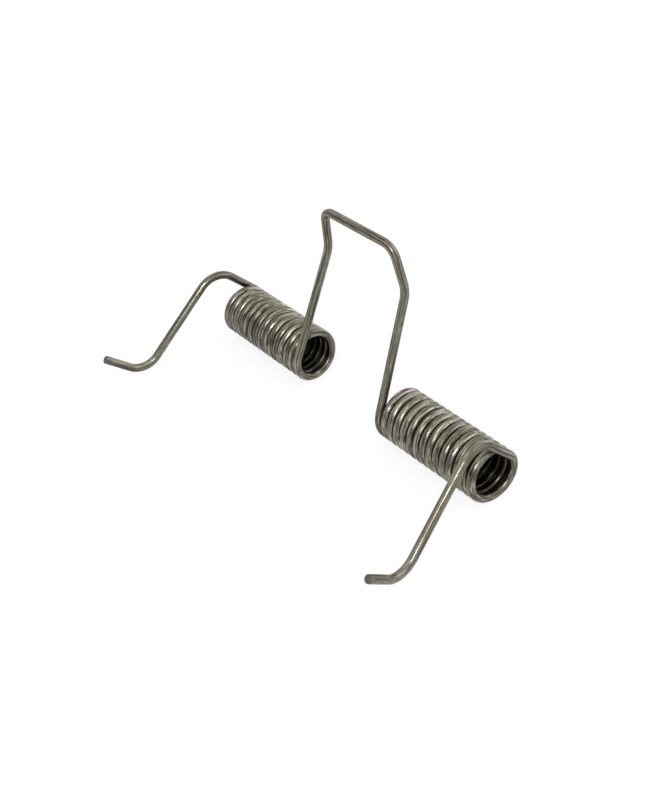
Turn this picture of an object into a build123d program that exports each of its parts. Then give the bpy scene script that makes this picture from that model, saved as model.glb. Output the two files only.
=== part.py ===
from build123d import *
import os
from math import cos, pi, radians, sin, sqrt

os.makedirs("parts", exist_ok=True)

# Double torsion spring: one length of round spring wire, the same on both sides of the
# middle plane X = 0. Two close-wound coils lie on one axis along X, joined by a high
# bridge, and each coil's outer end runs out into a cranked leg with a turned-up foot.
# It stands on its coils and on the heels of its legs, at Z = 0, with the feet towards -Y.
# Sizes are millimetres.

wire_d = 2.0

# coils
coil_mean_d = 11.0
coil_pitch = 2.1  # turn to turn, so the wires all but touch
coil_whole_turns = 15  # turns begun, the last one cut short by the leg that leaves it
coil_start_x = 15.1  # where the wire enters the first turn, out from the middle
coil_y = 15.85  # of the axis, which puts the origin under the middle of the whole spring

# bridge, from the coil upwards
bridge_lean = 23.0  # of the uprights, back from the vertical
bridge_upright = 28.3  # coil to kink
bridge_head = 11.0  # kink to bar
bridge_head_lean = 7.0  # of the head, forwards
bridge_head_splay = 9.4  # of the head, inwards
bridge_kink_r = 8.0
bridge_corner_r = 3.3

# legs, from the coil outwards
leg_rise = 46.0  # of the short arm that leaves the coil, above the horizontal
leg_arm = 13.9  # coil to knee
leg_fall = 42.5  # of the shank, below the horizontal
leg_splay = 4.6  # of the shank, outwards
foot_rise = 40.5
foot_splay = 7.5
foot_length = 12.0  # heel to tip
knee_r = 6.0
heel_r = 5.6

# worked out from the above
wire_r = wire_d / 2
coil_r = coil_mean_d / 2
coil_z = coil_r + wire_r
turn_start = radians(180 - bridge_lean)  # round +X, from +Y
turn_end = radians(90 - leg_rise + 360 * coil_whole_turns)
advance = coil_pitch / (2 * pi)  # along X for each radian
coil_length = advance * (turn_end - turn_start)


def coil_point(turn):
    """Where the wire's middle is at an angle of the winding."""
    x = coil_start_x + advance * (turn - turn_start)
    return Vector(x, coil_y + coil_r * cos(turn), coil_z + coil_r * sin(turn))


def coil_heading(turn):
    """Which way the wire runs at an angle of the winding."""
    return Vector(advance, -coil_r * sin(turn), coil_r * cos(turn)).normalized()


def heading(outwards, forwards, up):
    """A direction splayed outwards by one angle and raised by another, going forwards."""
    level = cos(radians(outwards))
    return Vector(
        sin(radians(outwards)), -level * cos(radians(up)) * forwards, level * sin(radians(up))
    )


# The uprights and the short arms leave their coil along its own tangents.
coil_entry = coil_point(turn_start)
coil_exit = coil_point(turn_end)
kink = coil_entry - coil_heading(turn_start) * bridge_upright
corner = kink + heading(-bridge_head_splay, 1, 90 - bridge_head_lean) * bridge_head
middle = Vector(0, corner.Y, corner.Z)
knee = coil_exit + coil_heading(turn_end) * leg_arm

# The shank is as long as brings the lowest point of the heel's bend down to Z = 0.
shank_way = heading(leg_splay, 1, -leg_fall)
foot_way = heading(foot_splay, 1, foot_rise)
heel_half_angle = radians(180 - shank_way.get_angle(foot_way)) / 2
heel_centre = (foot_way - shank_way).normalized() * (heel_r / sin(heel_half_angle))
heel_normal = shank_way.cross(foot_way).normalized()
heel_drop = heel_r * sqrt(1 - heel_normal.Z**2) - heel_centre.Z
shank_length = (knee.Z - wire_r - heel_drop) / -shank_way.Z
heel = knee + shank_way * shank_length
foot_tip = heel + foot_way * foot_length

# Half of the wire, from the middle of the bar out to a foot.
coil_frame = Plane(
    origin=(coil_start_x, coil_y, coil_z),
    x_dir=(0, cos(turn_start), sin(turn_start)),
    z_dir=(1, 0, 0),
)
winding = coil_frame * Helix(
    pitch=coil_pitch, height=coil_length, radius=coil_r, mode=Mode.PRIVATE
)

with BuildPart() as double_torsion_spring:
    with BuildLine() as centre_line:
        FilletPolyline(middle, corner, kink, coil_entry, radius=[bridge_corner_r, bridge_kink_r])
        add(winding)
        FilletPolyline(coil_exit, knee, heel, foot_tip, radius=[knee_r, heel_r])
    with BuildSketch(Plane(origin=middle, x_dir=(0, 1, 0), z_dir=(1, 0, 0))):
        Circle(wire_r)
    sweep(path=centre_line.wires()[0])
    mirror(about=Plane.YZ)

double_torsion_spring.part.label = "double_torsion_spring"
export_step(double_torsion_spring.part, "parts/double_torsion_spring.step")
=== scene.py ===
import bpy
import bmesh
from math import cos, pi, radians, sin, sqrt, tan
from mathutils import Matrix, Vector


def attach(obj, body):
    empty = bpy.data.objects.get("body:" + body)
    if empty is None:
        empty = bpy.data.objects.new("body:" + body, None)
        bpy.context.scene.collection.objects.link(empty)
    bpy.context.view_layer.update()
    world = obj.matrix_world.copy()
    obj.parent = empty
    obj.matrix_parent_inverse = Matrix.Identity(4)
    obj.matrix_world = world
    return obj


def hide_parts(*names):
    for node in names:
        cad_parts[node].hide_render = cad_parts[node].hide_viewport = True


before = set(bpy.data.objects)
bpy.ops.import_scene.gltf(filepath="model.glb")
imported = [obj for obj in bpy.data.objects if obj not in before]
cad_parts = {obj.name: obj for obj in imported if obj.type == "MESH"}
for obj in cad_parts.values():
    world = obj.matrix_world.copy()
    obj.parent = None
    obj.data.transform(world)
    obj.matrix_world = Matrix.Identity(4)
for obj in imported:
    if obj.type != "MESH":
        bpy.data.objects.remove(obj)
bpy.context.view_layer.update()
print("frame loaded")

mm = 0.001

# the same sizes as the solid, in millimetres and degrees
spring = {
    "wire": 2.0,
    "coilMean": 11.0,
    "coilPitch": 2.1,
    "coilTurns": 15,  # turns begun
    "coilStart": 15.1,  # out from the middle
    "coilBack": 15.85,  # of the axis, along +Y
    "bridgeLean": 23.0,  # of the uprights, backwards
    "upright": 28.3,  # coil to kink
    "head": 11.0,  # kink to bar
    "headLean": 7.0,  # forwards
    "headSplay": 9.4,  # inwards
    "kinkRadius": 8.0,
    "cornerRadius": 3.3,
    "armRise": 46.0,  # of the short arm that leaves a coil
    "arm": 13.9,  # coil to knee
    "shankFall": 42.5,
    "shankSplay": 4.6,  # outwards
    "footRise": 40.5,
    "footSplay": 7.5,
    "foot": 12.0,  # heel to tip
    "kneeRadius": 6.0,
    "heelRadius": 5.6,
    "ring": 28,  # faces round the wire
    "stepsPerTurn": 56,
    "bendSteps": (6, 1.5),  # at least, and how much finer than a coil's
    "endSteps": 3,  # in the rounding of a cut end
    "burr": 0.14,  # rounding at the cut ends
    "dish": (0.35, 0.05),  # how far in from the edge a cut end sinks, and by how much
    "join": 0.001,  # from the middle plane, where the two halves become one
    # painted shade: how far from the wire's middle it begins, and how fast it builds up, in wire
    # radii
    "shadeGroove": (0.83, 0.14),  # towards the next turn
    "shadeBore": (0.2, 0.5),  # towards the coil's axis
    "shadeMouth": (0.45, 4),  # its share at a coil's end, and the turns until it is full
}


def heading(outwards, forwards, up):
    level = cos(radians(outwards))
    across = -level * cos(radians(up)) * forwards
    return Vector((sin(radians(outwards)), across, level * sin(radians(up))))


def springPath():
    # corners of the wire's middle line, from the middle of the bar to a foot
    s = spring
    wireR = s["wire"] / 2
    coilR = s["coilMean"] / 2
    axisZ = coilR + wireR
    start = radians(180 - s["bridgeLean"])
    end = radians(90 - s["armRise"] + 360 * s["coilTurns"])
    advance = s["coilPitch"] / (2 * pi)

    def onCoil(turn):
        x = s["coilStart"] + advance * (turn - start)
        return Vector((x, s["coilBack"] + coilR * cos(turn), axisZ + coilR * sin(turn)))

    def alongCoil(turn):
        return Vector((advance, -coilR * sin(turn), coilR * cos(turn))).normalized()

    entry = onCoil(start)
    leave = onCoil(end)
    kink = entry - alongCoil(start) * s["upright"]
    corner = kink + heading(-s["headSplay"], 1, 90 - s["headLean"]) * s["head"]
    middle = Vector((0, corner.y, corner.z))
    knee = leave + alongCoil(end) * s["arm"]
    shankWay = heading(s["shankSplay"], 1, -s["shankFall"])
    footWay = heading(s["footSplay"], 1, s["footRise"])
    halfAngle = (pi - shankWay.angle(footWay)) / 2
    drop = s["heelRadius"] * sqrt(1 - shankWay.cross(footWay).normalized().z ** 2)
    drop -= (footWay - shankWay).normalized().z * s["heelRadius"] / sin(halfAngle)
    heel = knee + shankWay * ((knee.z - wireR - drop) / -shankWay.z)
    return {
        "middle": middle,
        "corner": corner,
        "kink": kink,
        "entry": entry,
        "leave": leave,
        "knee": knee,
        "heel": heel,
        "tip": heel + footWay * (s["foot"] - s["burr"]),
        "footWay": footWay,
        "axis": Vector((s["coilStart"], s["coilBack"], axisZ)),
        "wound": end - start,
    }


def newRings(bm, made, start, length):
    # numbers the rings that an operator has just made by their distance along the wire
    layers = bm.verts.layers.float
    bm.verts.ensure_lookup_table()
    fresh = bm.verts[made:]
    rings = len(fresh) // spring["ring"]
    for i, vert in enumerate(fresh):
        vert[layers["along"]] = start + length * (i // spring["ring"] + 1) / rings
        vert[layers["scuffed"]] = 0.0
        vert[layers["paintedShade"]] = 0.0
    return start + length


def feed(bm, ring, way, length):
    out = bmesh.ops.extrude_edge_only(bm, edges=ring)["geom"]
    verts = [g for g in out if isinstance(g, bmesh.types.BMVert)]
    bmesh.ops.translate(bm, verts=verts, vec=way * length)
    return [g for g in out if isinstance(g, bmesh.types.BMEdge)]


def turnAbout(bm, ring, centre, axis, angle, steps, slide):
    verts = list({v for e in ring for v in e.verts})
    out = bmesh.ops.spin(
        bm, geom=verts + ring, cent=centre, axis=axis, dvec=slide, angle=angle, steps=steps
    )["geom_last"]
    return [g for g in out if isinstance(g, bmesh.types.BMEdge)]


def markCoil(bm, verts, path):
    # scuffed by the winding tool, and painted shade inside the bore, darker further in, and in the
    # grooves between two turns
    layers = bm.verts.layers.float
    wireR = spring["wire"] / 2
    turns = path["wound"] / (2 * pi)
    grooveStart, grooveFade = spring["shadeGroove"]
    boreStart, boreFade = spring["shadeBore"]
    mouth, mouthTurns = spring["shadeMouth"]
    for i, vert in enumerate(verts):
        turn = (i // spring["ring"] + 1) * spring["ring"] / len(verts) * turns
        out = (vert.co - path["axis"]) * Vector((0, 1, 1))
        inwards = (spring["coilMean"] / 2 - out.length) / wireR
        middle = path["axis"].x + turn * spring["coilPitch"]
        across = (vert.co.x - middle) / wireR
        beside = turn < turns - 1 if across > 0 else turn > 1
        groove = (abs(across) - grooveStart) / grooveFade if beside else 0.0
        # the painted shade deepens from each coil's mouth towards its middle
        deep = min(1.0, mouth + min(turn, turns - turn) / mouthTurns)
        inside = min(1.0, (inwards - boreStart) / boreFade) * deep
        vert[layers["paintedShade"]] = min(1.0, max(0.0, groove, inside))
        vert[layers["scuffed"]] = 1.0


def bendWire():
    s = spring
    path = springPath()
    bm = bmesh.new()
    for name in ("around", "along", "paintedShade", "scuffed"):
        bm.verts.layers.float.new(name)
    around = bm.verts.layers.float["around"]
    first = bmesh.ops.create_circle(bm, segments=s["ring"], radius=s["wire"] / 2)["verts"]
    for i, vert in enumerate(first):
        vert[around] = i / s["ring"]
    ring = list(bm.edges)
    turned = Matrix.Rotation(pi / 2, 3, "Y")
    bmesh.ops.rotate(bm, verts=first, cent=(0, 0, 0), matrix=turned)
    bmesh.ops.translate(bm, verts=first, vec=path["middle"])

    def run(ring, points, radii, done):
        # straight runs between the corners, with a bend of its own radius at each
        fewest, finer = s["bendSteps"]
        here = points[0]
        for corner, after, radius in zip(points[1:], points[2:], radii):
            way = (corner - here).normalized()
            nextWay = (after - corner).normalized()
            turn = way.angle(nextWay)
            trim = radius * tan(turn / 2)
            made = len(bm.verts)
            straight = (corner - here).length - trim
            ring = feed(bm, ring, way, straight)
            done = newRings(bm, made, done, straight)
            axis = way.cross(nextWay).normalized()
            centre = corner - way * trim + axis.cross(way) * radius
            steps = max(fewest, round(turn / (2 * pi) * s["stepsPerTurn"] * finer))
            made = len(bm.verts)
            ring = turnAbout(bm, ring, centre, axis, turn, steps, (0, 0, 0))
            done = newRings(bm, made, done, radius * turn)
            here = corner + nextWay * trim
        made = len(bm.verts)
        straight = (points[-1] - here).length
        ring = feed(bm, ring, (points[-1] - here).normalized(), straight)
        return ring, newRings(bm, made, done, straight)

    ring, done = run(
        ring,
        [path["middle"], path["corner"], path["kink"], path["entry"]],
        [s["cornerRadius"], s["kinkRadius"]],
        0.0,
    )
    steps = round(path["wound"] / (2 * pi) * s["stepsPerTurn"])
    slide = s["coilPitch"] * path["wound"] / (2 * pi) / steps
    wireWound = path["wound"] * sqrt((s["coilMean"] / 2) ** 2 + (s["coilPitch"] / (2 * pi)) ** 2)
    made = len(bm.verts)
    ring = turnAbout(bm, ring, path["axis"], (1, 0, 0), path["wound"], steps, (slide, 0, 0))
    done = newRings(bm, made, done, wireWound)
    markCoil(bm, bm.verts[made:], path)
    verts = {v for e in ring for v in e.verts}
    reached = sum((v.co for v in verts), Vector()) / len(verts)
    print("coil ends", round((reached - path["leave"]).length, 4), "mm from its place")
    ring, done = run(
        ring,
        [path["leave"], path["knee"], path["heel"], path["tip"]],
        [s["kneeRadius"], s["heelRadius"]],
        done,
    )
    cutOff(bm, ring, path, done)
    return bm, done + s["burr"]


def cutOff(bm, ring, path, done):
    # a sheared end: its edge is rounded, and its middle sinks a little
    wireR = spring["wire"] / 2
    burr = spring["burr"]
    out = 0.0
    size = 1.0
    for step in range(1, spring["endSteps"] + 1):
        turn = pi / 2 * step / spring["endSteps"]
        made = len(bm.verts)
        further = burr * sin(turn) - out
        ring = feed(bm, ring, path["footWay"], further)
        done = newRings(bm, made, done, further)
        out += further
        smaller = 1 - burr * (1 - cos(turn)) / wireR
        verts = list({v for e in ring for v in e.verts})
        middle = sum((v.co for v in verts), Vector()) / len(verts)
        shrink = [smaller / size] * 3
        bmesh.ops.scale(bm, verts=verts, vec=shrink, space=Matrix.Translation(-middle))
        size = smaller
    end = bmesh.ops.contextual_create(bm, geom=ring)["faces"][0]
    end.material_index = 1
    end.normal_update()
    if end.normal.dot(path["footWay"]) < 0:
        end.normal_flip()
    inwards, depth = spring["dish"]
    bmesh.ops.inset_individual(bm, faces=[end], thickness=inwards, depth=-depth)


def makeSpring():
    bm, done = bendWire()
    around = bm.verts.layers.float["around"]
    along = bm.verts.layers.float["along"]
    half = bm.verts[:] + bm.edges[:] + bm.faces[:]
    bmesh.ops.mirror(bm, geom=half, axis="X", merge_dist=spring["join"])
    for vert in bm.verts:
        if vert.co.x < -spring["join"]:
            vert[along] *= -1
    bmesh.ops.recalc_face_normals(bm, faces=bm.faces)
    uv = bm.loops.layers.uv.new("wireMap")
    for face in bm.faces:
        turns = [loop.vert[around] for loop in face.loops]
        wraps = max(turns) - min(turns) > 0.5  # it lies across the seam
        for loop, u in zip(face.loops, turns):
            u = u + 1 if wraps and u < 0.5 else u
            loop[uv].uv = (u, loop.vert[along] / spring["wire"])
        face.smooth = face.material_index == 0
    bmesh.ops.scale(bm, vec=(mm, mm, mm), verts=bm.verts)
    mesh = bpy.data.meshes.new("springWire")
    bm.to_mesh(mesh)
    bm.free()
    piece = bpy.data.objects.new("springWire", mesh)
    bpy.context.scene.collection.objects.link(piece)
    print("wire", round(2 * done, 1), "mm long,", len(mesh.polygons), "faces")
    return piece


steel = {
    "grey": (0.235, 0.220, 0.172),
    "olive": (0.185, 0.182, 0.128),  # where the oil film is thicker
    "worn": (0.47, 0.45, 0.38),  # where it has been rubbed bright
    "brown": (0.046, 0.037, 0.026),  # old oil and scale
    # painted shade for the coils' bore and the grooves between their turns
    "paintedShade": (0.011, 0.010, 0.007),
    "cut": (0.045, 0.042, 0.036),
    "roughness": (0.26, 0.42),
    "cutRoughness": 0.55,
    # noise that follows the wire: how close round it, how close along it, scale, detail, roughness
    "lines": (3.2, 0.10, 1.0, 5, 0.6),
    "flecks": (2.3, 0.80, 1.0, 4, 0.6),
    "scuffs": (1.7, 0.42, 1.7, 4, 0.6),
    # noise over the whole piece: scale per metre, detail, roughness
    "film": (75.0, 2, 0.55),
    "blotches": (240.0, 3, 0.55),
    "torn": (1400.0, 3, 0.55),
    # the least and the most of each, and the values of its noise that give them
    "lineShare": (0.0, 0.9, 0.46, 0.585),
    "fleckShare": (0.0, 1.0, 0.475, 0.58),
    "scuffShare": (0.0, 1.0, 0.48, 0.60),
    "filmShare": (0.0, 0.8, 0.40, 0.62),
    "blotchShare": (0.45, 1.0, 0.40, 0.60),
    "straightFlecks": 0.45,  # what is left of them off the coils
    "straightScuffs": 0.4,
    "blotchDulls": 0.6,  # against a fleck
    "dullness": (0.60, 1.0),  # sums of the two between which the roughness rises
    "lineDepth": 0.004,  # millimetres
    "fleckDepth": 0.008,
    "tornDepth": 0.05,
}


def addNode(tree, kind, **settings):
    node = tree.nodes.new(kind)
    for name, value in settings.items():
        setattr(node, name, value)
    return node


def mathNode(tree, operation, first, second=None):
    node = addNode(tree, "ShaderNodeMath", operation=operation)
    for socket, value in zip(node.inputs, (first, second)):
        if isinstance(value, (int, float)):
            socket.default_value = value
        elif value is not None:
            tree.links.new(value, socket)
    return node.outputs[0]


def alongTheWire(tree, girth, along):
    # a point that goes round with the wire and on with its length, so that no seam shows
    uv = addNode(tree, "ShaderNodeUVMap", uv_map="wireMap")
    split = addNode(tree, "ShaderNodeSeparateXYZ")
    tree.links.new(uv.outputs["UV"], split.inputs[0])
    angle = mathNode(tree, "MULTIPLY", split.outputs["X"], 2 * pi)
    place = addNode(tree, "ShaderNodeCombineXYZ")
    across = mathNode(tree, "MULTIPLY", mathNode(tree, "COSINE", angle), girth)
    aside = mathNode(tree, "MULTIPLY", mathNode(tree, "SINE", angle), girth)
    tree.links.new(across, place.inputs["X"])
    tree.links.new(aside, place.inputs["Y"])
    tree.links.new(mathNode(tree, "MULTIPLY", split.outputs["Y"], along), place.inputs["Z"])
    return place.outputs[0]


def noise(tree, vector, scale, detail, roughness):
    node = addNode(tree, "ShaderNodeTexNoise")
    node.inputs["Scale"].default_value = scale
    node.inputs["Detail"].default_value = detail
    node.inputs["Roughness"].default_value = roughness
    tree.links.new(vector, node.inputs["Vector"])
    return node.outputs["Fac"]


def ranged(tree, value, low, high, fromLow, fromHigh):
    node = addNode(tree, "ShaderNodeMapRange")
    node.inputs["From Min"].default_value = fromLow
    node.inputs["From Max"].default_value = fromHigh
    node.inputs["To Min"].default_value = low
    node.inputs["To Max"].default_value = high
    tree.links.new(value, node.inputs["Value"])
    return node.outputs[0]


def mixed(tree, factor, first, second):
    node = addNode(tree, "ShaderNodeMix", data_type="RGBA")
    tree.links.new(factor, node.inputs["Factor"])
    for socket, value in zip((node.inputs[6], node.inputs[7]), (first, second)):
        if isinstance(value, tuple):
            socket.default_value = (*value, 1)
        else:
            tree.links.new(value, socket)
    return node.outputs[2]


def wireNoise(tree, girth, along, scale, detail, roughness):
    return noise(tree, alongTheWire(tree, girth, along), scale, detail, roughness)


def weakened(tree, share, left):
    # less on the straight runs, where the winding tool hasn't been
    wound = addNode(tree, "ShaderNodeAttribute", attribute_name="scuffed").outputs["Fac"]
    return mathNode(tree, "MULTIPLY", share, ranged(tree, wound, left, 1.0, 0.0, 1.0))


def bumped(tree, height, depth, normal=None):
    node = addNode(tree, "ShaderNodeBump")
    node.inputs["Distance"].default_value = depth * mm
    tree.links.new(height, node.inputs["Height"])
    if normal:
        tree.links.new(normal, node.inputs["Normal"])
    return node.outputs[0]


def newMetal(name):
    mat = bpy.data.materials.new(name)
    mat.use_nodes = True
    shader = mat.node_tree.nodes["Principled BSDF"]
    shader.inputs["Metallic"].default_value = 1.0
    return mat, mat.node_tree, shader


def springSteel():
    mat, tree, shader = newMetal("springSteel")
    coordinates = addNode(tree, "ShaderNodeTexCoord").outputs["Object"]
    lines = wireNoise(tree, *steel["lines"])
    flecks = wireNoise(tree, *steel["flecks"])
    scuffs = wireNoise(tree, *steel["scuffs"])
    film = noise(tree, coordinates, *steel["film"])
    blotches = noise(tree, coordinates, *steel["blotches"])

    streaked = ranged(tree, lines, *steel["lineShare"])
    flecked = ranged(tree, flecks, *steel["fleckShare"])
    patchy = ranged(tree, blotches, *steel["blotchShare"])
    flecked = mathNode(tree, "MULTIPLY", flecked, patchy)
    flecked = weakened(tree, flecked, steel["straightFlecks"])
    dark = mathNode(tree, "MAXIMUM", streaked, flecked)
    rubbed = ranged(tree, scuffs, *steel["scuffShare"])
    rubbed = weakened(tree, rubbed, steel["straightScuffs"])
    filmed = ranged(tree, film, *steel["filmShare"])
    # painted shade inside the coils and between their turns, darkest deep in the bore
    shadeMask = addNode(tree, "ShaderNodeAttribute", attribute_name="paintedShade").outputs["Fac"]
    colour = mixed(tree, filmed, steel["grey"], steel["olive"])
    colour = mixed(tree, rubbed, colour, steel["worn"])
    colour = mixed(tree, dark, colour, steel["brown"])
    colour = mixed(tree, shadeMask, colour, steel["paintedShade"])
    tree.links.new(colour, shader.inputs["Base Color"])

    dull = mathNode(tree, "MULTIPLY", blotches, steel["blotchDulls"])
    dull = mathNode(tree, "ADD", flecks, dull)
    dull = ranged(tree, dull, *steel["roughness"], *steel["dullness"])
    tree.links.new(dull, shader.inputs["Roughness"])

    normal = bumped(tree, flecks, steel["fleckDepth"])
    normal = bumped(tree, lines, steel["lineDepth"], normal)
    tree.links.new(normal, shader.inputs["Normal"])
    return mat


def shearedEnd():
    mat, tree, shader = newMetal("shearedEnd")
    coordinates = addNode(tree, "ShaderNodeTexCoord").outputs["Object"]
    torn = noise(tree, coordinates, *steel["torn"])
    colour = mixed(tree, torn, steel["cut"], steel["grey"])
    tree.links.new(colour, shader.inputs["Base Color"])
    shader.inputs["Roughness"].default_value = steel["cutRoughness"]
    tree.links.new(bumped(tree, torn, steel["tornDepth"]), shader.inputs["Normal"])
    return mat


piece = makeSpring()
piece.data.materials.append(springSteel())
piece.data.materials.append(shearedEnd())
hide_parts("double_torsion_spring")
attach(piece, "root")
print("spring made")

studio = {
    "heading": 56.456,  # degrees, round from the front towards +X
    "elevation": 37.085,
    "roll": -6.992,
    "place": (187.621, -116.981, 176.268),  # millimetres
    "focalPixels": 1237.28,
    "framePixels": 800,
    "clip": (0.01, 20),  # metres, as are the floor and the lamps
    "floorHalf": 3,
    "floorTone": 0.80,
    "floorRoughness": 0.9,
    "paper": 0.85,  # share of the paper's own white that is seen past the shadow
    "room": (1.0, 1.0, 1.0),
    "dim": (22, 15, (0.62, 0.92), 0.26),  # a dark side: heading, elevation, edges, tone
    "horizon": (0.09, 0.17),  # heights between which it fades in
    "lamps": {  # heading, elevation, distance, width, height, watts
        "key": (46, 40, 0.8, 0.30, 0.22, 3.3),
        "front": (5, 76, 0.8, 0.7, 0.7, 1.5),
        "right": (145, 32, 0.8, 0.9, 0.9, 1.9),
        "back": (-165, 8, 0.8, 0.5, 0.5, 0.8),
    },
}


def makeCamera():
    data = bpy.data.cameras.new("camera")
    data.sensor_fit = "VERTICAL"
    data.lens = data.sensor_height * studio["focalPixels"] / studio["framePixels"]
    data.clip_start, data.clip_end = studio["clip"]
    cam = bpy.data.objects.new("camera", data)
    turn = Matrix.Rotation(radians(studio["heading"]), 4, "Z")
    tip = Matrix.Rotation(radians(90 - studio["elevation"]), 4, "X")
    roll = Matrix.Rotation(radians(studio["roll"]), 4, "Z")
    cam.matrix_world = Matrix.Translation(Vector(studio["place"]) * mm) @ turn @ tip @ roll
    bpy.context.scene.collection.objects.link(cam)
    bpy.context.scene.camera = cam


def makeFloor():
    bm = bmesh.new()
    bmesh.ops.create_grid(bm, x_segments=1, y_segments=1, size=studio["floorHalf"])
    mesh = bpy.data.meshes.new("floor")
    bm.to_mesh(mesh)
    bm.free()
    floor = bpy.data.objects.new("floor", mesh)
    bpy.context.scene.collection.objects.link(floor)
    mat = bpy.data.materials.new("palePaper")
    mat.use_nodes = True
    tree = mat.node_tree
    shader = tree.nodes["Principled BSDF"]
    shader.inputs["Base Color"].default_value = (*[studio["floorTone"]] * 3, 1)
    shader.inputs["Roughness"].default_value = studio["floorRoughness"]
    shader.inputs["Specular IOR Level"].default_value = 0.0
    rays = addNode(tree, "ShaderNodeLightPath").outputs  # white to the eye, with a soft shadow
    seen = mathNode(tree, "ADD", rays["Is Camera Ray"], rays["Is Glossy Ray"])
    seen = mathNode(tree, "ADD", seen, rays["Is Transmission Ray"])
    glow = addNode(tree, "ShaderNodeEmission")
    glow.inputs["Strength"].default_value = 1.0
    blend = addNode(tree, "ShaderNodeMixShader")
    tree.links.new(mathNode(tree, "MULTIPLY", seen, studio["paper"]), blend.inputs[0])
    tree.links.new(shader.outputs[0], blend.inputs[1])
    tree.links.new(glow.outputs[0], blend.inputs[2])
    tree.links.new(blend.outputs[0], tree.nodes["Material Output"].inputs["Surface"])
    mesh.materials.append(mat)


def fromFront(azimuth, rise):
    level = cos(radians(rise))
    return Vector((sin(radians(azimuth)) * level, -cos(radians(azimuth)) * level, sin(radians(rise))))


def makeWorld():
    # a pale room with a dark side in front, where nothing throws light back
    world = bpy.data.worlds.new("studioWorld")
    world.use_nodes = True
    tree = world.node_tree
    azimuth, rise, edges, tone = studio["dim"]
    place = addNode(tree, "ShaderNodeTexCoord").outputs["Generated"]
    height = addNode(tree, "ShaderNodeSeparateXYZ")
    tree.links.new(place, height.inputs[0])
    above = ranged(tree, height.outputs["Z"], 0.0, 1.0, *studio["horizon"])
    facing = addNode(tree, "ShaderNodeVectorMath", operation="DOT_PRODUCT")
    tree.links.new(place, facing.inputs[0])
    facing.inputs[1].default_value = fromFront(azimuth, rise)
    inside = ranged(tree, facing.outputs["Value"], 0.0, 1.0, *edges)
    share = mathNode(tree, "MULTIPLY", inside, above)
    colour = mixed(tree, share, studio["room"], (tone, tone, tone))
    tree.links.new(colour, tree.nodes["Background"].inputs["Color"])
    bpy.context.scene.world = world


def makeLamps():
    for name, (azimuth, rise, distance, width, height, power) in studio["lamps"].items():
        data = bpy.data.lights.new(name, "AREA")
        data.shape = "ELLIPSE"
        data.size = width
        data.size_y = height
        data.energy = power
        lamp = bpy.data.objects.new(name, data)
        turn = Matrix.Rotation(radians(azimuth), 4, "Z")
        tip = Matrix.Rotation(radians(90 - rise), 4, "X")
        lamp.matrix_world = turn @ tip @ Matrix.Translation((0, 0, distance))
        bpy.context.scene.collection.objects.link(lamp)


makeCamera()
makeFloor()
makeWorld()
makeLamps()
bpy.context.scene.view_settings.view_transform = "Standard"
print("studio made")
